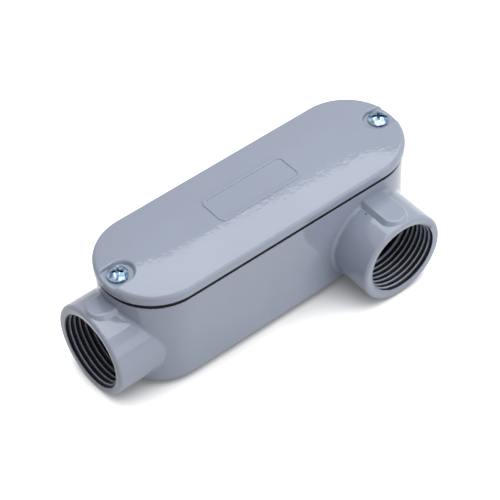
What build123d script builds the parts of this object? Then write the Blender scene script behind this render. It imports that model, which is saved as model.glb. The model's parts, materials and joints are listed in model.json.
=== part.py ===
from build123d import *
from math import radians, sqrt, tan
import os

# Threaded conduit outlet body for 1 inch rigid conduit, with a gasketed cover.
# An obround cast tub lies on its flat back. One hub leaves its end towards -X, and one
# leaves its side towards -Y near the +X end. Millimetres, +Z up through the cover, origin
# on the flat back under the middle of the tub.

# Tub of the casting
TUB_CENTRES = 93.4            # distance between the axes of the two round ends
TUB_RADIUS = 21.6             # outside radius of the round ends, half the tub's width
TUB_RIM_HEIGHT = 43.35        # from the flat back to the rim that carries the gasket
WALL = 3.0
FLOOR = 3.2
BACK_ROUNDING = 6.0           # outside, where the sides turn into the back
FLOOR_ROUNDING = 3.0          # inside, where the sides turn into the floor
RIM_ROUNDING = 0.35

# Hubs, both alike, with a 1 inch taper pipe thread (11.5 threads per inch)
HUB_RADIUS = 18.9
HUB_AXIS_HEIGHT = 19.2        # above the back
THREAD_RADIUS = 14.85         # crest radius of the thread at the mouth
THREAD_LENGTH = 17.5          # from the mouth to the shoulder of the bushing lip
MOUTH_CHAMFER = 0.55
MOUTH_ROUNDING = 1.4
LIP_RADIUS = 13.3             # the smooth bushing lip, as wide as the conduit's own bore
LIP_LENGTH = 4.15
LIP_ENTRY_ROUNDING = 1.2
LIP_EXIT_ROUNDING = 1.5
ROOT_ROUNDING = 1.4           # fillet where a hub leaves the tub
END_HUB_REACH = 10.0          # mouth of the end hub beyond the tub's end
SIDE_HUB_REACH = 18.65        # mouth of the side hub beyond the tub's side
SIDE_HUB_INSET = 6.25         # side hub's axis, from the axis of the far round end

# Flat marking pad on top of each hub, left bare
PAD_WIDTH = 9.3               # across the flat top
PAD_HEIGHT = 1.3              # above the crest of the hub
PAD_SETBACK = 1.6             # from the mouth to the round end of the pad
PAD_ROUNDING = 0.9
PAD_ROOT = 1.3                # how deep the pad's block runs into the hub
PAD_DRAFT = 30                # degrees that the pad's sides lean outwards

# Cover and gasket
COVER_OVERHANG = 0.75         # beyond the tub's side
COVER_EDGE_HEIGHT = 2.43      # straight side of the cover, under its edge rounding
COVER_EDGE_ROUNDING = 2.0
COVER_CROWN_RADIUS = 250.0    # the field's gentle crown, across the cover and round its ends
COVER_LOWER_ROUNDING = 0.25
COVER_RELIEF_DEPTH = 2.0      # shallow hollow of the cover's underside
COVER_RELIEF_INSET = 0.5      # hollow's edge inside the tub's inner wall
GASKET_THICKNESS = 2.4
GASKET_INSET = 0.15           # gasket's edge inside the tub's side

# Raised frame of the cover's field, left bare inside
FRAME_LENGTH = 38.8
FRAME_WIDTH = 14.4
FRAME_LINE = 1.1
FRAME_HEIGHT = 0.35
FRAME_ROUNDING = 0.17
FRAME_CORNER = 3.0
FRAME_CENTRE_X = 1.0
FRAME_CENTRE_Y = 1.45

# Cover screws, number 8 pan heads with a combined slot and cross
SCREW_INSET = 6.2             # screw's axis, from the end of the cover
SCREW_RADIUS = 2.08
SCREW_LENGTH = 10.4           # under the head
SCREW_POINT = 1.0
HEAD_RADIUS = 4.05
HEAD_SKIRT = 0.9              # straight side of the head
HEAD_DOME = 1.5
SLOT_WIDTH = 1.2
SLOT_DEPTH = 1.3
CROSS_SPAN = 4.4
CROSS_WIDTH = 1.1
CROSS_DEPTH = 1.9
SLOT_TURN_END_HUB = 50        # degrees from the cover's length to the screw's slot
SLOT_TURN_FAR_END = -40
THREAD_CLEARANCE = 0.05       # screw's shank in the tapped hole
SHANK_CLEARANCE = 0.32        # screw's shank in the cover and the gasket
HOLE_RUNOUT = 0.8             # tapped hole beyond the screw's point

# Screw pockets of the cover
POCKET_RADIUS = 4.85          # at the pocket's floor
POCKET_DEPTH = 1.9            # under the top of the crown
POCKET_DRAFT = 25             # degrees that the pocket's wall leans outwards
POCKET_OFFSET = 1.2           # pocket's round end, from the screw's axis to the middle
POCKET_ROUNDING = 0.8
POCKET_BREAK = 0.02           # how far the rim's rounding runs past the field
SILL_ROUNDING = 1.2           # where the pocket's floor meets the end of the cover

# Screw bosses inside the round ends
BOSS_RADIUS = 4.7
BOSS_LENGTH = 16.0            # straight part under the rim
BOSS_TAPER_LENGTH = 10.0
BOSS_TAPER_RADIUS = 2.7

# Places that follow from the sizes above
CAVITY_RADIUS = TUB_RADIUS - WALL
HUB_DEPTH = THREAD_LENGTH + LIP_LENGTH
END_MOUTH_X = -(TUB_CENTRES / 2 + TUB_RADIUS + END_HUB_REACH)
SIDE_MOUTH_Y = -(TUB_RADIUS + SIDE_HUB_REACH)
SIDE_HUB_X = TUB_CENTRES / 2 - SIDE_HUB_INSET
COVER_RADIUS = TUB_RADIUS + COVER_OVERHANG
COVER_BOTTOM = TUB_RIM_HEIGHT + GASKET_THICKNESS
COVER_SHOULDER = COVER_BOTTOM + COVER_EDGE_HEIGHT
CROWN_CENTRE = COVER_SHOULDER - sqrt(
    (COVER_CROWN_RADIUS - COVER_EDGE_ROUNDING) ** 2 - (COVER_RADIUS - COVER_EDGE_ROUNDING) ** 2
)
COVER_TOP = CROWN_CENTRE + COVER_CROWN_RADIUS
POCKET_FLOOR = COVER_TOP - POCKET_DEPTH
SCREW_X = TUB_CENTRES / 2 + COVER_RADIUS - SCREW_INSET
LAND_LENGTH = 2 * (SCREW_X - BOSS_RADIUS)     # clear length between the two bosses
CUT_MARGIN = 1.0              # how far a cutter runs past the face that it opens

TO_MOUTH = (Align.CENTER, Align.CENTER, Align.MAX)
UPWARDS = (Align.CENTER, Align.CENTER, Align.MIN)

END_HUB = Plane(origin=(END_MOUTH_X, 0, HUB_AXIS_HEIGHT), x_dir=(0, -1, 0), z_dir=(-1, 0, 0))
SIDE_HUB = Plane(origin=(SIDE_HUB_X, SIDE_MOUTH_Y, HUB_AXIS_HEIGHT), x_dir=(1, 0, 0), z_dir=(0, -1, 0))


def obround(radius, low, high, centres=TUB_CENTRES):
    """A standing obround prism about the tub's middle, between two heights."""
    outline = SlotCenterToCenter(centres, 2 * radius)
    return Pos(0, 0, low) * extrude(outline, high - low)


def land(radius, low, high):
    """An obround prism that stops short of both screw bosses."""
    return obround(radius, low, high, centres=LAND_LENGTH - 2 * radius)


def pad():
    """The marking pad on a hub, in the hub's own frame: +Z out of the mouth, +Y up."""
    end = PAD_SETBACK + PAD_WIDTH / 2
    tail = HUB_DEPTH + PAD_WIDTH / 2
    outline = Pos(0, -(end + tail) / 2) * SlotCenterToCenter(tail - end, PAD_WIDTH, rotation=90)
    block = extrude(outline, PAD_HEIGHT + PAD_ROOT, taper=-PAD_DRAFT)
    block = Plane.XZ.offset(-(HUB_RADIUS + PAD_HEIGHT)) * block
    crown = block.faces().sort_by(Axis.Y)[-1]
    return fillet(crown.edges(), PAD_ROUNDING)


def hub_barrel(reach):
    """Outside of a hub in its own frame, from a rounded mouth to the middle of the tub."""
    barrel = Cylinder(HUB_RADIUS, reach + TUB_RADIUS, align=TO_MOUTH)
    mouth = barrel.faces().sort_by(Axis.Z)[-1]
    return fillet(mouth.edges(), MOUTH_ROUNDING)


def hub_bore():
    """What is cut out of a hub: the thread's bore, the shoulder and the rounded lip."""
    mouth_radius = THREAD_RADIUS + MOUTH_CHAMFER
    entry_radius = LIP_RADIUS + LIP_ENTRY_ROUNDING
    exit_radius = LIP_RADIUS + LIP_EXIT_ROUNDING
    entry_depth = THREAD_LENGTH + LIP_ENTRY_ROUNDING
    exit_depth = HUB_DEPTH - LIP_EXIT_ROUNDING
    past = HUB_DEPTH + 2 * WALL
    wall = Polyline(
        (0, CUT_MARGIN),
        (mouth_radius, CUT_MARGIN),
        (mouth_radius, 0),
        (THREAD_RADIUS, -MOUTH_CHAMFER),
        (THREAD_RADIUS, -THREAD_LENGTH),
        (entry_radius, -THREAD_LENGTH),
    )
    entry = RadiusArc((entry_radius, -THREAD_LENGTH), (LIP_RADIUS, -entry_depth), LIP_ENTRY_ROUNDING)
    lip = Line((LIP_RADIUS, -entry_depth), (LIP_RADIUS, -exit_depth))
    flare = RadiusArc((LIP_RADIUS, -exit_depth), (exit_radius, -HUB_DEPTH), LIP_EXIT_ROUNDING)
    back = Polyline((exit_radius, -HUB_DEPTH), (exit_radius, -past), (0, -past), (0, CUT_MARGIN))
    profile = make_face(wall + entry + lip + flare + back)
    return revolve(Plane.XZ * profile, Axis.Z)


def tub_outside():
    """Outside of the tub, with the long rounding round its back."""
    tub = obround(TUB_RADIUS, 0, TUB_RIM_HEIGHT)
    back = tub.faces().sort_by(Axis.Z)[0]
    tub = fillet(back.edges(), BACK_ROUNDING)
    rim = tub.faces().sort_by(Axis.Z)[-1]
    return fillet(rim.edges(), RIM_ROUNDING)


def casting_outside():
    """Tub, hubs and pads as one, with a fillet round each hub's root."""
    shell = tub_outside()
    for place, reach in ((END_HUB, END_HUB_REACH), (SIDE_HUB, SIDE_HUB_REACH)):
        hub = place * hub_barrel(reach)
        joined = shell + hub
        roots = new_edges(shell, hub, combined=joined)
        shell = fillet(roots, ROOT_ROUNDING)
    for place in (END_HUB, SIDE_HUB):
        shell += place * pad()
    return shell


def screw_boss(side):
    """A boss that hangs under the rim inside one round end, tapering into the wall."""
    top = TUB_RIM_HEIGHT
    low = top - BOSS_LENGTH
    straight = Pos(side * SCREW_X, 0, low) * Cylinder(BOSS_RADIUS, BOSS_LENGTH + CUT_MARGIN, align=UPWARDS)
    taper = Cone(BOSS_TAPER_RADIUS, BOSS_RADIUS, BOSS_TAPER_LENGTH, align=UPWARDS)
    return straight + Pos(side * SCREW_X, 0, low - BOSS_TAPER_LENGTH) * taper


def cavity():
    """The wireway: an obround hollow that leaves the end hub's tube and the bosses."""
    hollow = obround(CAVITY_RADIUS, FLOOR, TUB_RIM_HEIGHT + CUT_MARGIN)
    floor = hollow.faces().sort_by(Axis.Z)[0]
    hollow = fillet(floor.edges(), FLOOR_ROUNDING)
    hollow -= END_HUB * Cylinder(HUB_RADIUS, HUB_DEPTH, align=TO_MOUTH)
    for side in (-1, 1):
        hollow -= screw_boss(side)
    return hollow


def screw_hole(side, clearance, low, high):
    """A round hole on a cover screw's axis, between two heights."""
    radius = SCREW_RADIUS + clearance
    return Pos(side * SCREW_X, 0, low) * Cylinder(radius, high - low, align=UPWARDS)


def body_casting():
    """The one-piece casting: tub, both hubs with their bores, lips and pads, and bosses."""
    body = casting_outside() - cavity()
    for hub in (END_HUB, SIDE_HUB):
        body -= hub * hub_bore()
    hole_end = POCKET_FLOOR - SCREW_LENGTH - HOLE_RUNOUT
    for side in (-1, 1):
        body -= screw_hole(side, THREAD_CLEARANCE, hole_end, TUB_RIM_HEIGHT + CUT_MARGIN)
    return body


def crown_height(radius):
    """Height of the crowned field at a distance from its middle line, edge rounding left out."""
    return CROWN_CENTRE + sqrt(COVER_CROWN_RADIUS ** 2 - radius ** 2)


def crowned_cover():
    """The cover before its cuts: straight side, rounded edge, crowned field and round ends."""
    ratio = COVER_CROWN_RADIUS / (COVER_CROWN_RADIUS - COVER_EDGE_ROUNDING)
    turn_radius = (COVER_RADIUS - COVER_EDGE_ROUNDING) * ratio
    turn = (turn_radius, crown_height(turn_radius))
    side = Polyline((0, COVER_BOTTOM), (COVER_RADIUS, COVER_BOTTOM), (COVER_RADIUS, COVER_SHOULDER))
    edge = RadiusArc((COVER_RADIUS, COVER_SHOULDER), turn, -COVER_EDGE_ROUNDING)
    field = RadiusArc(turn, (0, COVER_TOP), -COVER_CROWN_RADIUS)
    middle = Line((0, COVER_TOP), (0, COVER_BOTTOM))
    section = Plane.YZ * make_face(side + edge + field + middle)
    half = extrude(section, TUB_CENTRES / 2, both=True)
    half += Pos(-TUB_CENTRES / 2, 0, 0) * revolve(section, Axis.Z, 180)
    return half + Rot(0, 0, 180) * half


def dome_block(radius):
    """A round block whose top lies just over the crown of a round end."""
    rim = (radius, crown_height(radius) + POCKET_BREAK)
    top = (0, COVER_TOP + POCKET_BREAK)
    side = Polyline(top, (0, COVER_BOTTOM), (radius, COVER_BOTTOM), rim)
    section = make_face(side + RadiusArc(rim, top, -COVER_CROWN_RADIUS))
    return revolve(Plane.YZ * section, Axis.Z)


def screw_pocket(side):
    """A recess with leaning walls and a rounded rim, open to the end of the cover."""
    inner = SCREW_X - POCKET_OFFSET - TUB_CENTRES / 2
    outer = COVER_RADIUS + POCKET_RADIUS
    bottom = POCKET_FLOOR - SILL_ROUNDING
    radius = POCKET_RADIUS - SILL_ROUNDING * tan(radians(POCKET_DRAFT))
    outline = SlotCenterToCenter(outer - inner, 2 * radius)
    hollow = extrude(outline, COVER_TOP + CUT_MARGIN - bottom, taper=-POCKET_DRAFT)
    block = dome_block(outer + 2 * POCKET_RADIUS)
    mould = block - Pos((inner + outer) / 2, 0, bottom) * hollow
    rim = mould.faces().filter_by(GeomType.SPHERE)[0].inner_wires()[0]
    pocket = block - fillet(rim.edges(), POCKET_ROUNDING)
    turn = 0 if side > 0 else 180
    return Rot(0, 0, turn) * Pos(TUB_CENTRES / 2, 0, 0) * pocket - pocket_sill()


def pocket_sill():
    """What stays under the pockets: the cover up to their floor, rounded at its edge."""
    sill = obround(COVER_RADIUS, COVER_BOTTOM, POCKET_FLOOR)
    crown = sill.faces().sort_by(Axis.Z)[-1]
    return fillet(crown.edges(), SILL_ROUNDING)


def raised_frame():
    """The thin raised frame, which follows the crown of the cover's field."""
    length = FRAME_LENGTH - 2 * FRAME_LINE
    width = FRAME_WIDTH - 2 * FRAME_LINE
    outer = RectangleRounded(FRAME_LENGTH, FRAME_WIDTH, FRAME_CORNER)
    inner = RectangleRounded(length, width, FRAME_CORNER - FRAME_LINE)
    root = COVER_SHOULDER
    band = Pos(FRAME_CENTRE_X, FRAME_CENTRE_Y, root) * extrude(outer - inner, COVER_TOP + CUT_MARGIN - root)
    line = band & Pos(0, 0, FRAME_HEIGHT) * crowned_cover()
    crest = line.faces().sort_by(Axis.Z)[-1]
    return fillet(crest.edges(), FRAME_ROUNDING)


def cover_plate():
    """The cast cover: crowned field, screw pockets, raised frame and relieved underside."""
    plate = crowned_cover()
    plate = fillet(plate.faces().sort_by(Axis.Z)[0].edges(), COVER_LOWER_ROUNDING)
    plate += raised_frame()
    for side in (-1, 1):
        plate -= screw_pocket(side)
        plate -= screw_hole(side, SHANK_CLEARANCE, COVER_BOTTOM - CUT_MARGIN, COVER_TOP)
    relief_radius = CAVITY_RADIUS - COVER_RELIEF_INSET
    return plate - land(relief_radius, COVER_BOTTOM - CUT_MARGIN, COVER_BOTTOM + COVER_RELIEF_DEPTH)


def cover_gasket():
    """The flat gasket between rim and cover, with a hole for each screw."""
    low = TUB_RIM_HEIGHT - CUT_MARGIN
    high = COVER_BOTTOM + CUT_MARGIN
    ring = obround(TUB_RADIUS - GASKET_INSET, TUB_RIM_HEIGHT, COVER_BOTTOM)
    ring -= land(CAVITY_RADIUS, low, high)
    for side in (-1, 1):
        ring -= screw_hole(side, SHANK_CLEARANCE, low, high)
    return ring


def cover_screw(side, slot_turn):
    """A pan-head screw seated in its pocket, with a slot crossed by a driver recess."""
    crown = HEAD_SKIRT + HEAD_DOME
    side_line = Polyline(
        (0, -SCREW_LENGTH),
        (SCREW_RADIUS - SCREW_POINT, -SCREW_LENGTH),
        (SCREW_RADIUS, SCREW_POINT - SCREW_LENGTH),
        (SCREW_RADIUS, 0),
        (HEAD_RADIUS, 0),
        (HEAD_RADIUS, HEAD_SKIRT),
    )
    dome_radius = (HEAD_RADIUS ** 2 + HEAD_DOME ** 2) / (2 * HEAD_DOME)
    dome = RadiusArc((HEAD_RADIUS, HEAD_SKIRT), (0, crown), -dome_radius)
    axis_line = Line((0, crown), (0, -SCREW_LENGTH))
    screw = revolve(Plane.XZ * make_face(side_line + dome + axis_line), Axis.Z)
    slot = Box(2 * HEAD_RADIUS + CUT_MARGIN, SLOT_WIDTH, SLOT_DEPTH + CUT_MARGIN, align=UPWARDS)
    screw -= Pos(0, 0, crown - SLOT_DEPTH) * slot
    for turn in (0, 90):
        arm = Box(CROSS_SPAN, CROSS_WIDTH, CROSS_DEPTH + CUT_MARGIN, align=UPWARDS)
        screw -= Pos(0, 0, crown - CROSS_DEPTH) * Rot(0, 0, turn) * arm
    return Pos(side * SCREW_X, 0, POCKET_FLOOR) * Rot(0, 0, slot_turn) * screw


def main():
    os.makedirs("parts", exist_ok=True)
    nodes = {
        "body_casting": body_casting(),
        "cover_gasket": cover_gasket(),
        "cover_plate": cover_plate(),
        "cover_screw_end_hub": cover_screw(-1, SLOT_TURN_END_HUB),
        "cover_screw_far_end": cover_screw(1, SLOT_TURN_FAR_END),
    }
    for name, solid in nodes.items():
        export_step(solid, f"parts/{name}.step")


main()
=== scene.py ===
"""Looks of a threaded conduit outlet body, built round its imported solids."""

import json
import logging
import math
from dataclasses import dataclass
from enum import Enum

import bmesh
import bpy
from mathutils import Matrix, Vector


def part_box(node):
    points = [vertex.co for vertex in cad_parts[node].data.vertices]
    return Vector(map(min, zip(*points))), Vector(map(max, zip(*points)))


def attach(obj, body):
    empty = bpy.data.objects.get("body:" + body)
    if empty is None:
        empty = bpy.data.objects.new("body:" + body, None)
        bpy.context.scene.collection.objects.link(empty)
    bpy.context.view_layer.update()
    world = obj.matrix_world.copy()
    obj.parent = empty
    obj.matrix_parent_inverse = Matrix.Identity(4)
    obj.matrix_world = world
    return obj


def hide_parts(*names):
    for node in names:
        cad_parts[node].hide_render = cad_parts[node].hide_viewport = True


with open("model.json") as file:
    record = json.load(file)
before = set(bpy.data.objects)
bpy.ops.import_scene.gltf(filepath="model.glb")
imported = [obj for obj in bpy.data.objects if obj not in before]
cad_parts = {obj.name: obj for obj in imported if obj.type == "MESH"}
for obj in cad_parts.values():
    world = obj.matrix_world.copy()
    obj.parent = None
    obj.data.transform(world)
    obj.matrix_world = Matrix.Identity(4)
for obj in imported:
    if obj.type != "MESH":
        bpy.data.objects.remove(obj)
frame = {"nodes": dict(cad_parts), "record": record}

LOG = logging.getLogger("conduit_body")
MM = 0.001
NOISE_MIDDLE = 0.5
Triple = tuple[float, float, float]
Colour = tuple[float, float, float, float]
Band = tuple[float, float]


def srgb(red: int, green: int, blue: int) -> Colour:
    """Turn a display colour into the linear colour that a shader takes.

    Args:
        red: Red, from 0 to 255.
        green: Green, from 0 to 255.
        blue: Blue, from 0 to 255.

    Returns:
        The linear colour with an alpha of one.
    """
    linear = []
    for value in (red, green, blue):
        share = value / 255
        linear.append(share / 12.92 if share <= 0.04045 else ((share + 0.055) / 1.055) ** 2.4)
    return (linear[0], linear[1], linear[2], 1.0)


class NodeGraph:
    """A thin hand on a node tree: adds nodes, sets their inputs and links them."""

    # The Mix node repeats its socket names for each kind of value, so its sockets are picked by number.
    MIX_SHARE = 0
    MIX_NUMBERS = (2, 3)
    MIX_COLOURS = (6, 7)
    MIXED_COLOUR = 2

    def __init__(self, tree: bpy.types.NodeTree) -> None:
        """Take a tree and empty it.

        Args:
            tree: The node tree to build in.
        """
        self.tree = tree
        tree.nodes.clear()

    def add(self, kind: str, inputs: dict[str | int, object] | None = None, **settings: object
            ) -> bpy.types.Node:
        """Add a node.

        Args:
            kind: The node's type name.
            inputs: What each input is given, a value or another node's output.
            **settings: Settings of the node itself.

        Returns:
            The new node.
        """
        node = self.tree.nodes.new(kind)
        for name, value in settings.items():
            setattr(node, name, value)
        for name, value in (inputs or {}).items():
            if isinstance(value, bpy.types.NodeSocket):
                self.tree.links.new(value, node.inputs[name])
            else:
                node.inputs[name].default_value = value
        return node

    def math(self, operation: str, first: object, second: object, clamp: bool = False
             ) -> bpy.types.NodeSocket:
        """Add a math node.

        Args:
            operation: The name of the sum.
            first: The first value or output.
            second: The second value or output.
            clamp: Whether the result is kept from 0 to 1.

        Returns:
            The node's output.
        """
        node = self.add("ShaderNodeMath", {0: first, 1: second}, operation=operation, use_clamp=clamp)
        return node.outputs[0]

    def ramp(self, value: bpy.types.NodeSocket, band: tuple[object, object], start: float = 0.0,
             end: float = 1.0) -> bpy.types.NodeSocket:
        """Add a smooth map from one range to another.

        Args:
            value: The output to map.
            band: Where the range starts and ends, as values or outputs.
            start: What the range's start becomes.
            end: What the range's end becomes.

        Returns:
            The mapped output.
        """
        inputs = {"Value": value, "From Min": band[0], "From Max": band[1], "To Min": start, "To Max": end}
        return self.add("ShaderNodeMapRange", inputs, interpolation_type="SMOOTHSTEP").outputs[0]

    def blend(self, share: bpy.types.NodeSocket, first: object, second: object) -> bpy.types.NodeSocket:
        """Add a mix of two colours.

        Args:
            share: How much of the second colour there is.
            first: The first colour.
            second: The second colour.

        Returns:
            The mixed colour.
        """
        low, high = self.MIX_COLOURS
        mix = self.add("ShaderNodeMix", {self.MIX_SHARE: share, low: first, high: second}, data_type="RGBA")
        return mix.outputs[self.MIXED_COLOUR]

    def place(self) -> bpy.types.NodeSocket:
        """Add the coordinates of the piece itself."""
        return self.add("ShaderNodeTexCoord").outputs["Object"]

    def noise(self, scale: object, detail: object, roughness: float = 0.5) -> bpy.types.NodeSocket:
        """Add noise that is fixed to the piece.

        Args:
            scale: Its scale, in waves to the metre.
            detail: How many finer layers it has.
            roughness: How strong the finer layers are.

        Returns:
            The noise, from 0 to 1.
        """
        inputs = {"Vector": self.place(), "Scale": scale, "Detail": detail, "Roughness": roughness}
        return self.add("ShaderNodeTexNoise", inputs).outputs[0]

    def bump(self, height: bpy.types.NodeSocket, distance: float, strength: float) -> bpy.types.NodeSocket:
        """Add a bump.

        Args:
            height: Where the surface is high, from 0 to 1.
            distance: How high that is, in metres.
            strength: How much of it shows.

        Returns:
            The normal.
        """
        inputs = {"Height": height, "Distance": distance, "Strength": strength}
        return self.add("ShaderNodeBump", inputs).outputs[0]

    def surface(self, inputs: dict[str, object]) -> None:
        """Close a material with its shader.

        Args:
            inputs: What the shader's inputs are given.
        """
        shader = self.add("ShaderNodeBsdfPrincipled", inputs)
        self.add("ShaderNodeOutputMaterial", {"Surface": shader.outputs[0]})


class TreeKind(Enum):
    """Kinds of node group that this script makes."""

    SHADER = "ShaderNodeTree"
    GEOMETRY = "GeometryNodeTree"


class SocketKind(Enum):
    """Kinds of socket that the groups have."""

    NUMBER = "NodeSocketFloat"
    COUNT = "NodeSocketInt"
    MATERIAL = "NodeSocketMaterial"
    GEOMETRY = "NodeSocketGeometry"


def new_group(name: str, kind: TreeKind, inputs: dict[str, SocketKind], outputs: dict[str, SocketKind]
              ) -> bpy.types.NodeTree:
    """Make a node group with named sockets.

    Args:
        name: The group's name.
        kind: What the group works on.
        inputs: Each input's kind.
        outputs: Each output's kind.

    Returns:
        The group, without nodes.
    """
    group = bpy.data.node_groups.new(name, kind.value)
    for way, sockets in (("INPUT", inputs), ("OUTPUT", outputs)):
        for label, socket in sockets.items():
            group.interface.new_socket(label, in_out=way, socket_type=socket.value)
    return group


class OrangePeel:
    """The fine waves of a sprayed and baked powder coat, shared by all the painted faces."""

    WAVE_DETAIL = 1.0
    WAVE_ROUGHNESS = 0.4
    SWELL_ROUGHNESS = 0.45
    DRIFT_DETAIL = 2.0
    INPUTS = ("Wave Scale", "Swell Scale", "Swell Share", "Drift Scale")

    def __init__(self) -> None:
        """Build the group."""
        number = SocketKind.NUMBER
        self.group = new_group("orange_peel", TreeKind.SHADER, dict.fromkeys(self.INPUTS, number),
                               {"Height": number, "Drift": number})
        graph = NodeGraph(self.group)
        given = graph.add("NodeGroupInput").outputs
        waves = graph.noise(given["Wave Scale"], self.WAVE_DETAIL, self.WAVE_ROUGHNESS)
        swell = graph.noise(given["Swell Scale"], self.WAVE_DETAIL, self.SWELL_ROUGHNESS)
        low, high = graph.MIX_NUMBERS
        mix = graph.add("ShaderNodeMix", {graph.MIX_SHARE: given["Swell Share"], low: waves, high: swell})
        drift = graph.noise(given["Drift Scale"], self.DRIFT_DETAIL)
        graph.add("NodeGroupOutput", {"Height": mix.outputs[0], "Drift": drift})


class FineGrain:
    """The small unevenness of a bare surface, shared by the thread, the rubber and the zinc."""

    INPUTS = ("Scale", "Detail", "Low", "High")

    def __init__(self) -> None:
        """Build the group."""
        number = SocketKind.NUMBER
        self.group = new_group("fine_grain", TreeKind.SHADER, dict.fromkeys(self.INPUTS, number),
                               {"Mask": number, "Height": number})
        graph = NodeGraph(self.group)
        given = graph.add("NodeGroupInput").outputs
        height = graph.noise(given["Scale"], given["Detail"])
        mask = graph.ramp(height, (given["Low"], given["High"]))
        graph.add("NodeGroupOutput", {"Mask": mask, "Height": height})

    def put(self, graph: NodeGraph, scale: float, detail: float, band: Band = (0.0, 1.0)
            ) -> tuple[bpy.types.NodeSocket, bpy.types.NodeSocket]:
        """Place the group in a material with its own values.

        Args:
            graph: The material's graph.
            scale: The grain's scale, in waves to the metre.
            detail: How many finer layers it has.
            band: Where the mask starts and is full.

        Returns:
            The mask and the height.
        """
        values = {"Scale": scale, "Detail": detail, "Low": band[0], "High": band[1]}
        outputs = graph.add("ShaderNodeGroup", values, node_tree=self.group).outputs
        return outputs["Mask"], outputs["Height"]


@dataclass(frozen=True)
class Finish:
    """What each finish shares: a named material with a graph of its own.

    Lengths are in metres, scales in waves to the metre, and a band is where a mask starts and is full.
    """

    name: str = "finish"

    def start(self) -> tuple[bpy.types.Material, NodeGraph]:
        """Make the material.

        Returns:
            The material and its graph, without nodes.
        """
        material = bpy.data.materials.new(self.name)
        material.use_nodes = True
        return material, NodeGraph(material.node_tree)


@dataclass(frozen=True)
class PowderCoat(Finish):
    """Glossy grey powder coat on cast aluminium, with one dark speck on the side hub."""

    name: str = "grey_powder_coat"
    colour: Colour = srgb(145, 153, 170)
    shade: Colour = srgb(142, 150, 167)
    colour_band: Band = (0.35, 0.65)
    roughness: Band = (0.03, 0.06)
    roughness_band: Band = (0.3, 0.7)
    ior: float = 1.5
    wave_height: float = 0.00003
    wave_scale: float = 720.0
    swell_scale: float = 260.0
    swell_share: float = 0.25
    drift_scale: float = 24.0
    speck: Colour = srgb(84, 90, 102)
    speck_place: Triple = (0.03386, -0.02599, 0.0369)
    speck_band: Band = (0.0003, 0.00045)

    def make(self, peel: OrangePeel) -> bpy.types.Material:
        """Build the material.

        Args:
            peel: The group that gives the coat its waves.

        Returns:
            The material.
        """
        material, graph = self.start()
        values = {"Wave Scale": self.wave_scale, "Swell Scale": self.swell_scale,
                  "Swell Share": self.swell_share, "Drift Scale": self.drift_scale}
        waves = graph.add("ShaderNodeGroup", values, node_tree=peel.group).outputs
        colour = graph.blend(graph.ramp(waves["Drift"], self.colour_band), self.shade, self.colour)
        away = graph.add("ShaderNodeVectorMath", {0: graph.place(), 1: self.speck_place},
                         operation="DISTANCE")
        chip = graph.ramp(away.outputs["Value"], self.speck_band, 1.0, 0.0)
        graph.surface({
            "Base Color": graph.blend(chip, colour, self.speck),
            "Roughness": graph.ramp(waves["Drift"], self.roughness_band, *self.roughness),
            "Normal": graph.bump(waves["Height"], self.wave_height, 1.0),
            "IOR": self.ior})
        return material


@dataclass(frozen=True)
class ThreadWithPaintedShade(Finish):
    """The wall of a cut thread: light at its crests, with painted shade that darkens its flanks and turns its
    valleys nearly black.
    """

    name: str = "cut_thread"
    crest: Colour = srgb(172, 178, 192)
    flank: Colour = srgb(66, 69, 84)
    valley_shade: Colour = srgb(15, 16, 26)
    overspray: Colour = srgb(140, 148, 165)
    flank_shade_band: Band = (0.05, 0.4)
    valley_shade_band: Band = (0.2, 0.6)
    overspray_band: Band = (0.0004, 0.0008)
    roughness: float = 0.45
    gloss: float = 0.12
    grime_scale: float = 420.0
    grime_detail: float = 3.0
    grime_share: float = 0.2
    grime_height: float = 0.00005
    grime_strength: float = 0.6

    def make(self, grain: FineGrain) -> bpy.types.Material:
        """Build the material.

        Args:
            grain: The group that gives the wall its grime.

        Returns:
            The material.
        """
        material, graph = self.start()
        grime = grain.put(graph, self.grime_scale, self.grime_detail)[1]
        uneven = graph.math("SUBTRACT", grime, NOISE_MIDDLE)
        depth = graph.add("ShaderNodeAttribute", attribute_name="thread_depth").outputs["Fac"]
        depth = graph.math("ADD", depth, graph.math("MULTIPLY", uneven, self.grime_share))
        inwards = graph.add("ShaderNodeAttribute", attribute_name="mouth_depth").outputs["Fac"]
        # Painted shade by groove depth: the light crest colour darkens to the flank's and then to the nearly
        # black valley's towards the root.
        colour = graph.blend(graph.ramp(depth, self.flank_shade_band), self.crest, self.flank)
        colour = graph.blend(graph.ramp(depth, self.valley_shade_band), colour, self.valley_shade)
        cover = graph.ramp(inwards, self.overspray_band, 1.0, 0.0)
        graph.surface({
            "Base Color": graph.blend(cover, colour, self.overspray),
            "Roughness": self.roughness, "Specular IOR Level": self.gloss,
            "Normal": graph.bump(grime, self.grime_height, self.grime_strength)})
        return material


@dataclass(frozen=True)
class SheetRubber(Finish):
    """Matt black sheet rubber of the gasket."""

    name: str = "sheet_rubber"
    colour: Colour = srgb(7, 8, 11)
    pale: Colour = srgb(14, 15, 19)
    roughness: float = 0.75
    gloss: float = 0.15
    bloom_scale: float = 260.0
    bloom_detail: float = 4.0
    bloom_band: Band = (0.4, 0.75)
    bloom_height: float = 0.00008
    bloom_strength: float = 0.5

    def make(self, grain: FineGrain) -> bpy.types.Material:
        """Build the material.

        Args:
            grain: The group that gives the rubber its bloom.

        Returns:
            The material.
        """
        material, graph = self.start()
        bloom, height = grain.put(graph, self.bloom_scale, self.bloom_detail, self.bloom_band)
        graph.surface({
            "Base Color": graph.blend(bloom, self.colour, self.pale),
            "Roughness": self.roughness, "Specular IOR Level": self.gloss,
            "Normal": graph.bump(height, self.bloom_height, self.bloom_strength)})
        return material


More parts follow.
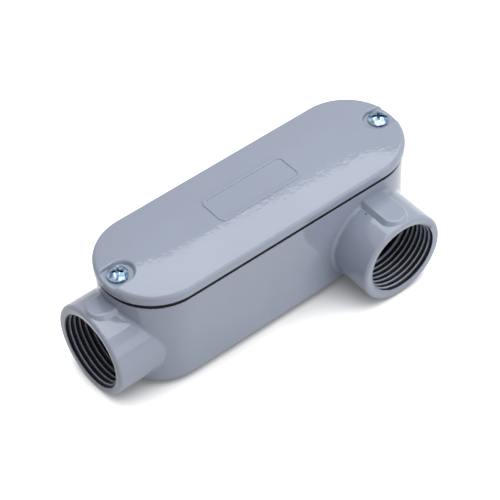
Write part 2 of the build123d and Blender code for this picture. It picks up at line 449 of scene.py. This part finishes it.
@dataclass(frozen=True)
class BrightZinc(Finish):
    """Bright zinc plate with the faint blue of its passivation."""

    name: str = "bright_zinc"
    colour: Colour = srgb(172, 192, 208)
    dull: Colour = srgb(88, 112, 142)
    roughness: Band = (0.05, 0.15)
    roughness_band: Band = (0.3, 0.7)
    spot_scale: float = 700.0
    spot_detail: float = 3.0
    spot_band: Band = (0.35, 0.7)
    spot_height: float = 0.00003
    spot_strength: float = 0.4

    def make(self, grain: FineGrain) -> bpy.types.Material:
        """Build the material.

        Args:
            grain: The group that gives the plate its spots.

        Returns:
            The material.
        """
        material, graph = self.start()
        spots, height = grain.put(graph, self.spot_scale, self.spot_detail, self.spot_band)
        graph.surface({
            "Base Color": graph.blend(spots, self.dull, self.colour),
            "Roughness": graph.ramp(height, self.roughness_band, *self.roughness), "Metallic": 1.0,
            "Normal": graph.bump(height, self.spot_height, self.spot_strength)})
        return material


@dataclass(frozen=True)
class Hub:
    """A hub, known by its mount in the record, with its groove's turn in degrees."""

    mount: str
    phase: float = 0.0

    def matrix(self, casting: str) -> Matrix:
        """Give the hub's own frame, on its mount's axis.

        Args:
            casting: The node whose box ends in the plane of the mouth.

        Returns:
            The frame, with +Z out of the mouth and its origin in the mouth's plane.
        """
        mount = next(mount for mount in frame["record"]["mounts"] if mount["name"] == self.mount)
        out = Vector(mount["axis"])
        mouth = Vector(mount["pos_m"])
        low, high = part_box(casting)
        for axis, way in enumerate(out):
            if way:
                mouth[axis] = low[axis] if way < 0 else high[axis]
        up = Vector((0.0, 0.0, 1.0))
        turn = Matrix((up.cross(out), up, out)).transposed().to_4x4()
        return Matrix.Translation(mouth) @ turn


@dataclass(frozen=True)
class HubThread:
    """Sizes of the 1 inch conduit thread that is cut in each hub, in millimetres and degrees.

    The groove is swept from its length inside the mouth to the lead-in outside it, and trimmed at the run-out.
    Its section is flat at the root and widens by the flank angle on each side over its reach, past the crest.
    """

    pitch: float = 2.209
    crest_radius: float = 14.85
    root_radius: float = 16.47
    length: float = 16.3
    lead_in: float = 2.4
    run_out: float = 0.3
    root_flat: float = 0.12
    reach: float = 1.77
    flank_angle: float = 30.0
    segments: int = 112

    def sweep_values(self) -> dict[str, float]:
        """Give the groove tree's inputs, in metres, with the turns that are trimmed off at the mouth.

        Returns:
            Each input's value by its name.
        """
        height = self.length + self.lead_in
        half_root = self.root_flat / 2
        half_mouth = half_root + self.reach * math.tan(math.radians(self.flank_angle))
        return {
            "Segments": self.segments,
            "Turns": height / self.pitch,
            "Radius": self.root_radius * MM,
            "Height": height * MM,
            "Half Root": half_root * MM,
            "Half Mouth": half_mouth * MM,
            "Reach": self.reach * MM,
        }


class GrooveTree:
    """Geometry Nodes that sweep a groove's section along a right-handed helix."""

    SIZES = ("Turns", "Radius", "Height", "Half Root", "Half Mouth", "Reach")

    def __init__(self) -> None:
        """Build the tree once, with named inputs for its sizes."""
        inputs = {"Segments": SocketKind.COUNT, **dict.fromkeys(self.SIZES, SocketKind.NUMBER),
                  "Metal": SocketKind.MATERIAL}
        self.tree = new_group("helical_groove", TreeKind.GEOMETRY, inputs, {"Geometry": SocketKind.GEOMETRY})
        self.tree.is_modifier = True
        graph = NodeGraph(self.tree)
        given = graph.add("NodeGroupInput").outputs
        spiral = graph.add("GeometryNodeCurveSpiral", {
            "Resolution": given["Segments"], "Rotations": given["Turns"], "Start Radius": given["Radius"],
            "End Radius": given["Radius"], "Height": given["Height"], "Reverse": True})
        upright = graph.add("GeometryNodeSetCurveNormal", {"Curve": spiral.outputs[0]}, mode="Z_UP")
        sweep = graph.add("GeometryNodeCurveToMesh", {
            "Curve": upright.outputs[0], "Profile Curve": self._section(graph, given), "Fill Caps": True})
        whole = graph.add("GeometryNodeRealizeInstances", {"Geometry": sweep.outputs[0]})
        dressed = graph.add("GeometryNodeSetMaterial", {
            "Geometry": whole.outputs[0], "Material": given["Metal"]})
        graph.add("NodeGroupOutput", {"Geometry": dressed.outputs[0]})

    @staticmethod
    def _section(graph: NodeGraph, given: bpy.types.NodeOutputs) -> bpy.types.NodeSocket:
        """Add the nodes of the groove's four-cornered section, its narrow side on the helix.

        Args:
            graph: The tree's graph.
            given: The tree's inputs.

        Returns:
            The section curve.
        """
        corners = {}
        for reach, width, side in ((-1.0, "Half Mouth", 1.0), (-1.0, "Half Mouth", -1.0),
                                   (0.0, "Half Root", -1.0), (0.0, "Half Root", 1.0)):
            along = graph.math("MULTIPLY", given["Reach"], reach)
            across = graph.math("MULTIPLY", given[width], side)
            corner = graph.add("ShaderNodeCombineXYZ", {"X": along, "Y": across}).outputs[0]
            corners[f"Point {len(corners) + 1}"] = corner
        return graph.add("GeometryNodeCurvePrimitiveQuadrilateral", corners, mode="POINTS").outputs[0]

    def sweep(self, name: str, values: dict[str, object]) -> bpy.types.Object:
        """Evaluate the tree into a plain mesh.

        Args:
            name: The new object's name.
            values: What each named input is given.

        Returns:
            The mesh object, without modifiers.
        """
        holder = bpy.data.objects.new(name, bpy.data.meshes.new(name))
        bpy.context.scene.collection.objects.link(holder)
        modifier = holder.modifiers.new("groove", "NODES")
        modifier.node_group = self.tree
        for item in self.tree.interface.items_tree:
            if item.in_out == "INPUT":
                modifier[item.identifier] = values[item.name]
        shown = holder.evaluated_get(bpy.context.evaluated_depsgraph_get())
        mesh = bpy.data.meshes.new_from_object(shown)
        holder.modifiers.clear()
        holder.data = mesh
        return holder


@dataclass
class ThreadedCasting:
    """The cast body with the threads that its source leaves as plain bores, in millimetres and degrees.

    A point is in a bore where it lies from crest to root, give or take the slack, as far in as the thread and
    its relief, or on the bushing lip behind them. A face that leans along the axis by more than the crest tilt
    keeps its paint, as the rounded mouth does.
    """

    node: str = "body_casting"
    slot: str = "body_paint"
    thread: HubThread = HubThread()
    hubs: tuple[Hub, ...] = (Hub("end_hub", phase=250.0), Hub("side_hub"))
    merge_distance: float = 0.001
    smooth_angle: float = 32.0
    crest_tilt: float = 0.3
    same_facing: float = 0.999
    slack: float = 0.1
    mouth_slack: float = 0.05
    relief: float = 1.3
    lip_radius: float = 13.2
    lip_end: float = 21.2
    KEYS_PER_METRE = 1e7

    def build(self, grooves: GrooveTree, coat: bpy.types.Material, bare: bpy.types.Material
              ) -> bpy.types.Object:
        """Cut the threads and dress the casting.

        Args:
            grooves: The tree that sweeps a groove.
            coat: The paint.
            bare: The finish of the cut thread.

        Returns:
            The casting.
        """
        source = frame["nodes"][self.node]
        piece = self._merged_copy(source, coat)
        places = []
        for hub in self.hubs:
            place = hub.matrix(self.node)
            self._cut(piece, self._groove(grooves, place, hub.phase, bare))
            places.append(place)
        self._dress_bores_and_shade_lips(piece.data, places, bare)
        self._mark_depth(piece.data, places)
        self._carry_normals(piece.data, source.data)
        return piece

    def _merged_copy(self, source: bpy.types.Object, coat: bpy.types.Material) -> bpy.types.Object:
        """Copy a CAD node and close its loose triangles.

        Args:
            source: The node's object.
            coat: The paint that the copy starts with.

        Returns:
            The copy.
        """
        mesh = bpy.data.meshes.new("threaded_casting")
        work = bmesh.new()
        work.from_mesh(source.data)
        bmesh.ops.remove_doubles(work, verts=work.verts, dist=self.merge_distance * MM)
        work.to_mesh(mesh)
        work.free()
        mesh.materials.clear()
        mesh.materials.append(coat)
        piece = bpy.data.objects.new("threaded_casting", mesh)
        bpy.context.scene.collection.objects.link(piece)
        return piece

    def _groove(self, grooves: GrooveTree, place: Matrix, phase: float, bare: bpy.types.Material
                ) -> bpy.types.Object:
        """Sweep a hub's groove, trim it just past the mouth and place it.

        Args:
            grooves: The tree that sweeps a groove.
            place: The hub's frame.
            phase: How far the groove is turned, in degrees.
            bare: The finish of the cut thread.

        Returns:
            The groove as a closed solid.
        """
        cutter = grooves.sweep("groove", {**self.thread.sweep_values(), "Metal": bare})
        sunk = Matrix.Translation((0.0, 0.0, -self.thread.length * MM))
        turn = Matrix.Rotation(math.radians(phase), 3, "Z")
        work = bmesh.new()
        work.from_mesh(cutter.data)
        bmesh.ops.remove_doubles(work, verts=work.verts, dist=self.merge_distance * MM)
        bmesh.ops.transform(work, matrix=sunk, verts=work.verts)
        bmesh.ops.rotate(work, cent=(0.0, 0.0, 0.0), matrix=turn, verts=work.verts)
        everything = work.verts[:] + work.edges[:] + work.faces[:]
        bmesh.ops.bisect_plane(work, geom=everything, plane_co=(0.0, 0.0, self.thread.run_out * MM),
                               plane_no=(0.0, 0.0, 1.0), clear_outer=True)
        open_edges = [edge for edge in work.edges if edge.is_boundary]
        bmesh.ops.edgeloop_fill(work, edges=open_edges)
        bmesh.ops.triangulate(work, faces=work.faces)
        bmesh.ops.recalc_face_normals(work, faces=work.faces)
        if work.calc_volume(signed=True) < 0:
            bmesh.ops.reverse_faces(work, faces=work.faces)
        bmesh.ops.transform(work, matrix=place, verts=work.verts)
        work.to_mesh(cutter.data)
        work.free()
        return cutter

    @staticmethod
    def _cut(piece: bpy.types.Object, cutter: bpy.types.Object) -> None:
        """Take a cutter out of the casting and delete it.

        Args:
            piece: The casting.
            cutter: The closed solid to take away.
        """
        modifier = piece.modifiers.new("thread", "BOOLEAN")
        modifier.operation = "DIFFERENCE"
        modifier.solver = "EXACT"
        modifier.material_mode = "TRANSFER"
        modifier.object = cutter
        shown = piece.evaluated_get(bpy.context.evaluated_depsgraph_get())
        mesh = bpy.data.meshes.new_from_object(shown)
        piece.modifiers.clear()
        piece.data = mesh
        bpy.data.objects.remove(cutter)

    def _bore_place(self, into_hub: Matrix, point: Vector) -> tuple[float, float] | None:
        """Tell where on a hub's thread or bushing lip a point lies.

        Args:
            into_hub: The inverse of the hub's frame.
            point: The point, in metres.

        Returns:
            How deep in the groove it is, 0 at a crest to 1 at a root and on the lip, and how far in from the
            mouth in metres. Nothing where the point isn't in the bore.
        """
        local = into_hub @ point
        radius = math.hypot(local.x, local.y) / MM
        inwards = -local.z / MM
        thread = self.thread
        share = (radius - thread.crest_radius) / (thread.root_radius - thread.crest_radius)
        past_thread = thread.length + self.slack < inwards < self.lip_end
        # The bushing lip is given the depth of a root, so the thread's finish paints it with nearly black
        # shade.
        if past_thread and self.lip_radius < radius < thread.crest_radius + self.slack:
            return 1.0, inwards * MM
        along_thread = -self.mouth_slack < inwards < thread.length + self.relief
        if along_thread and -self.slack < share < 1.0 + self.slack:
            return min(max(share, 0.0), 1.0), inwards * MM
        return None

    def _dress_bores_and_shade_lips(self, mesh: bpy.types.Mesh, places: list[Matrix], bare: bpy.types.Material) -> None:
        """Give what is left of the plain bores, and the lips behind them, the finish of the thread, which
        paints nearly black shade on the lips.

        Args:
            mesh: The casting's mesh.
            places: The hubs' frames.
            bare: The finish of the cut thread.
        """
        index = mesh.materials.find(bare.name)
        for place in places:
            into_hub = place.inverted()
            out = place.col[2].to_3d()
            for face in mesh.polygons:
                found = self._bore_place(into_hub, face.center)
                if found is None:
                    continue
                # Faces past the thread, the lip among them, take the thread's finish, which paints nearly
                # black shade on the lip.
                if found[1] > self.thread.length * MM or abs(face.normal.dot(out)) < self.crest_tilt:
                    face.material_index = index

    def _mark_depth(self, mesh: bpy.types.Mesh, places: list[Matrix]) -> None:
        """Write how deep in the groove and how far in from the mouth each point of a bore lies.

        Args:
            mesh: The casting's mesh.
            places: The hubs' frames.
        """
        groove = mesh.attributes.new("thread_depth", "FLOAT", "POINT")
        mouth = mesh.attributes.new("mouth_depth", "FLOAT", "POINT")
        for into_hub in [place.inverted() for place in places]:
            for vertex in mesh.vertices:
                found = self._bore_place(into_hub, vertex.co)
                if found is not None:
                    groove.data[vertex.index].value, mouth.data[vertex.index].value = found

    def _carry_normals(self, mesh: bpy.types.Mesh, source: bpy.types.Mesh) -> None:
        """Give the faces that the cut left alone the smooth normals of the source.

        Args:
            mesh: The casting's mesh.
            source: The CAD node's mesh.
        """
        known: dict[tuple[int, ...], list[tuple[Vector, Vector]]] = {}
        corners = source.corner_normals
        for face in source.polygons:
            for loop in face.loop_indices:
                key = self._key(source.vertices[source.loops[loop].vertex_index].co)
                known.setdefault(key, []).append((face.normal.copy(), corners[loop].vector.copy()))
        mesh.shade_smooth()
        mesh.set_sharp_from_angle(angle=math.radians(self.smooth_angle))
        normals = [corner.vector.copy() for corner in mesh.corner_normals]
        for face in mesh.polygons:
            for loop in face.loop_indices:
                options = known.get(self._key(mesh.vertices[mesh.loops[loop].vertex_index].co), [])
                best = max(options, key=lambda option: option[0].dot(face.normal), default=None)
                if best is not None and best[0].dot(face.normal) > self.same_facing:
                    normals[loop] = best[1]
        mesh.normals_split_custom_set(normals)

    def _key(self, place: Vector) -> tuple[int, ...]:
        """Round a place to a tenth of a micrometre, as a key."""
        return tuple(round(value * self.KEYS_PER_METRE) for value in place)


@dataclass
class CoverAssembly:
    """The cover plate, its gasket and its two screws, whose solids stay as they are."""

    plate: str = "cover_plate"
    gasket: str = "cover_gasket"
    screws: tuple[str, ...] = ("cover_screw_end_hub", "cover_screw_far_end")

    def dress(self, coat: bpy.types.Material, rubber: bpy.types.Material, zinc: bpy.types.Material) -> None:
        """Give each piece its finish.

        Args:
            coat: The paint of the plate.
            rubber: The gasket's sheet.
            zinc: The screws' plating.
        """
        self._dress_node(self.plate, coat)
        self._dress_node(self.gasket, rubber)
        for screw in self.screws:
            self._dress_node(screw, zinc)

    @staticmethod
    def _dress_node(node: str, material: bpy.types.Material) -> None:
        """Put a material on a CAD node.

        Args:
            node: The node's name.
            material: Its finish.
        """
        for place in frame["nodes"][node].material_slots:
            place.material = material
        LOG.info("dressed %s in %s", node, material.name)


@dataclass(frozen=True)
class Softbox:
    """A rectangular lamp in the studio, in metres and degrees, which gloss mirrors or not."""

    name: str
    centre: Triple
    faces: Triple
    size: tuple[float, float]
    radiance: float
    spin: float = 0.0
    mirrored: bool = True

    def hang(self) -> None:
        """Make the lamp and aim it."""
        data = bpy.data.lights.new(self.name, "AREA")
        data.shape = "RECTANGLE"
        data.size, data.size_y = self.size
        data.energy = self.radiance * math.pi * self.size[0] * self.size[1]
        lamp = bpy.data.objects.new(self.name, data)
        bpy.context.scene.collection.objects.link(lamp)
        lamp.visible_glossy = self.mirrored
        aim = (Vector(self.faces) - Vector(self.centre)).to_track_quat("-Z", "Y").to_matrix().to_4x4()
        turn = Matrix.Rotation(math.radians(self.spin), 4, "Z")
        lamp.matrix_world = Matrix.Translation(Vector(self.centre)) @ aim @ turn


@dataclass(frozen=True)
class PhotoCamera:
    """The camera at the photograph's angle, in metres, degrees and pixels of the photograph."""

    azimuth: float = -38.32
    elevation: float = 46.48
    roll: float = -1.57
    distance: float = 0.871
    focal_px: float = 2242.2
    right_px: float = 4.48
    up_px: float = -34.62
    frame_px: int = 500
    sensor_mm: float = 36.0
    near: float = 0.01

    def mount(self) -> None:
        """Set the camera up, so that the origin lies the given pixels right of and above the middle."""
        azimuth, elevation, roll = map(math.radians, (self.azimuth, self.elevation, self.roll))
        back = Vector((math.sin(azimuth) * math.cos(elevation), -math.cos(azimuth) * math.cos(elevation),
                       math.sin(elevation)))
        level_right = Vector((math.cos(azimuth), math.sin(azimuth), 0.0))
        level_up = back.cross(level_right)
        right = math.cos(roll) * level_right + math.sin(roll) * level_up
        up = -math.sin(roll) * level_right + math.cos(roll) * level_up
        step = self.distance / self.focal_px
        place = back * self.distance - right * self.right_px * step - up * self.up_px * step
        data = bpy.data.cameras.new("camera")
        data.sensor_width = self.sensor_mm
        data.lens = self.focal_px * self.sensor_mm / self.frame_px
        data.clip_start = self.near
        camera = bpy.data.objects.new("camera", data)
        bpy.context.scene.collection.objects.link(camera)
        camera.matrix_world = Matrix.Translation(place) @ Matrix((right, up, back)).transposed().to_4x4()
        bpy.context.scene.camera = camera


@dataclass
class Studio:
    """The white floor, the soft lamps and the camera, in metres.

    The floor adds a white of its own, for rays that don't light the object. It grows from the nook floor to
    full as the open sky within the nook's reach goes through the nook band, so the object keeps its real
    shadow, with painted shade added where the sky is hidden, deepest in its nooks.
    """

    floor_size: float = 12.0
    floor_white: float = 0.62
    nook_reach: float = 0.033
    nook_band: Band = (0.19, 0.94)
    nook_floor: float = 0.06
    nook_samples: int = 16
    mirrored_floor: float = 0.6
    mirrored_world: float = 1.0
    ambient: float = 0.22
    camera: PhotoCamera = PhotoCamera()
    lamps: tuple[Softbox, ...] = (
        Softbox("overhead_softbox", centre=(0.255, 0.01, 0.9), faces=(0.255, 0.01, 0.0), size=(1.13, 1.2),
                radiance=2.7, spin=-20.7),
        Softbox("front_softbox", centre=(0.31, -1.16, 0.36), faces=(0.0, 0.0, 0.03), size=(1.3, 0.5),
                radiance=1.1),
        Softbox("front_fill", centre=(0.31, -1.16, 0.36), faces=(0.0, 0.0, 0.03), size=(1.3, 0.5),
                radiance=2.4, mirrored=False),
    )

    def build(self) -> None:
        """Set up the floor, the world, the lamps and the camera."""
        self._floor()
        self._world()
        for lamp in self.lamps:
            lamp.hang()
        self.camera.mount()

    @staticmethod
    def _seen_share(graph: NodeGraph, mirrored: float) -> bpy.types.NodeSocket:
        """Add how much of its own white a ray sees.

        Args:
            graph: The graph to add to.
            mirrored: How much of it reflections see.

        Returns:
            The share: one for the camera and through clear pieces, and none for the light on the object.
        """
        ray = graph.add("ShaderNodeLightPath").outputs
        seen = graph.math("ADD", ray["Is Camera Ray"], graph.math("MULTIPLY", ray["Is Glossy Ray"], mirrored))
        return graph.math("ADD", seen, ray["Is Transmission Ray"], clamp=True)

    def _floor(self) -> None:
        """Lay the white floor, which the camera sees clear to white outside the object's nooks and darkened by
        painted shade within them.
        """
        half = self.floor_size / 2
        mesh = bpy.data.meshes.new("floor")
        corners = [(-half, -half, 0.0), (half, -half, 0.0), (half, half, 0.0), (-half, half, 0.0)]
        mesh.from_pydata(corners, [], [(0, 1, 2, 3)])
        floor = bpy.data.objects.new("floor", mesh)
        bpy.context.scene.collection.objects.link(floor)
        material, graph = Finish("white_floor").start()
        # Painted shade: the floor's own white drops where the object hides the sky, darkening the floor round
        # it, most in its nooks.
        sky = graph.add("ShaderNodeAmbientOcclusion", {"Distance": self.nook_reach},
                        samples=self.nook_samples)
        glow = graph.ramp(sky.outputs["AO"], self.nook_band, self.nook_floor)
        shine = graph.math("MULTIPLY", glow, self._seen_share(graph, self.mirrored_floor))
        white = graph.add("ShaderNodeBsdfDiffuse", {"Color": (self.floor_white,) * 3 + (1.0,)})
        light = graph.add("ShaderNodeEmission", {"Strength": shine})
        both = graph.add("ShaderNodeAddShader", {0: white.outputs[0], 1: light.outputs[0]})
        graph.add("ShaderNodeOutputMaterial", {"Surface": both.outputs[0]})
        mesh.materials.append(material)

    def _world(self) -> None:
        """Fill the world with a weak light that the camera and reflections see as white."""
        world = bpy.data.worlds.new("studio")
        world.use_nodes = True
        graph = NodeGraph(world.node_tree)
        seen = self._seen_share(graph, self.mirrored_world)
        level = graph.ramp(seen, (0.0, 1.0), self.ambient, 1.0)
        glow = graph.add("ShaderNodeBackground", {"Color": (1.0, 1.0, 1.0, 1.0), "Strength": level})
        graph.add("ShaderNodeOutputWorld", {"Surface": glow.outputs[0]})
        bpy.context.scene.world = world


def main() -> None:
    """Build the dressed object and light it."""
    logging.basicConfig(level=logging.INFO, format="%(message)s")
    view = bpy.context.scene.view_settings
    view.view_transform = "Standard"
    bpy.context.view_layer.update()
    grain = FineGrain()
    coat = PowderCoat().make(OrangePeel())
    casting = ThreadedCasting()
    piece = casting.build(GrooveTree(), coat, ThreadWithPaintedShade().make(grain))
    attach(piece, "root")
    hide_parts(casting.node)
    LOG.info("built %s with %d faces", piece.name, len(piece.data.polygons))
    CoverAssembly().dress(coat, SheetRubber().make(grain), BrightZinc().make(grain))
    Studio().build()
    LOG.info("sizes kept")


if __name__ == "__main__":
    main()
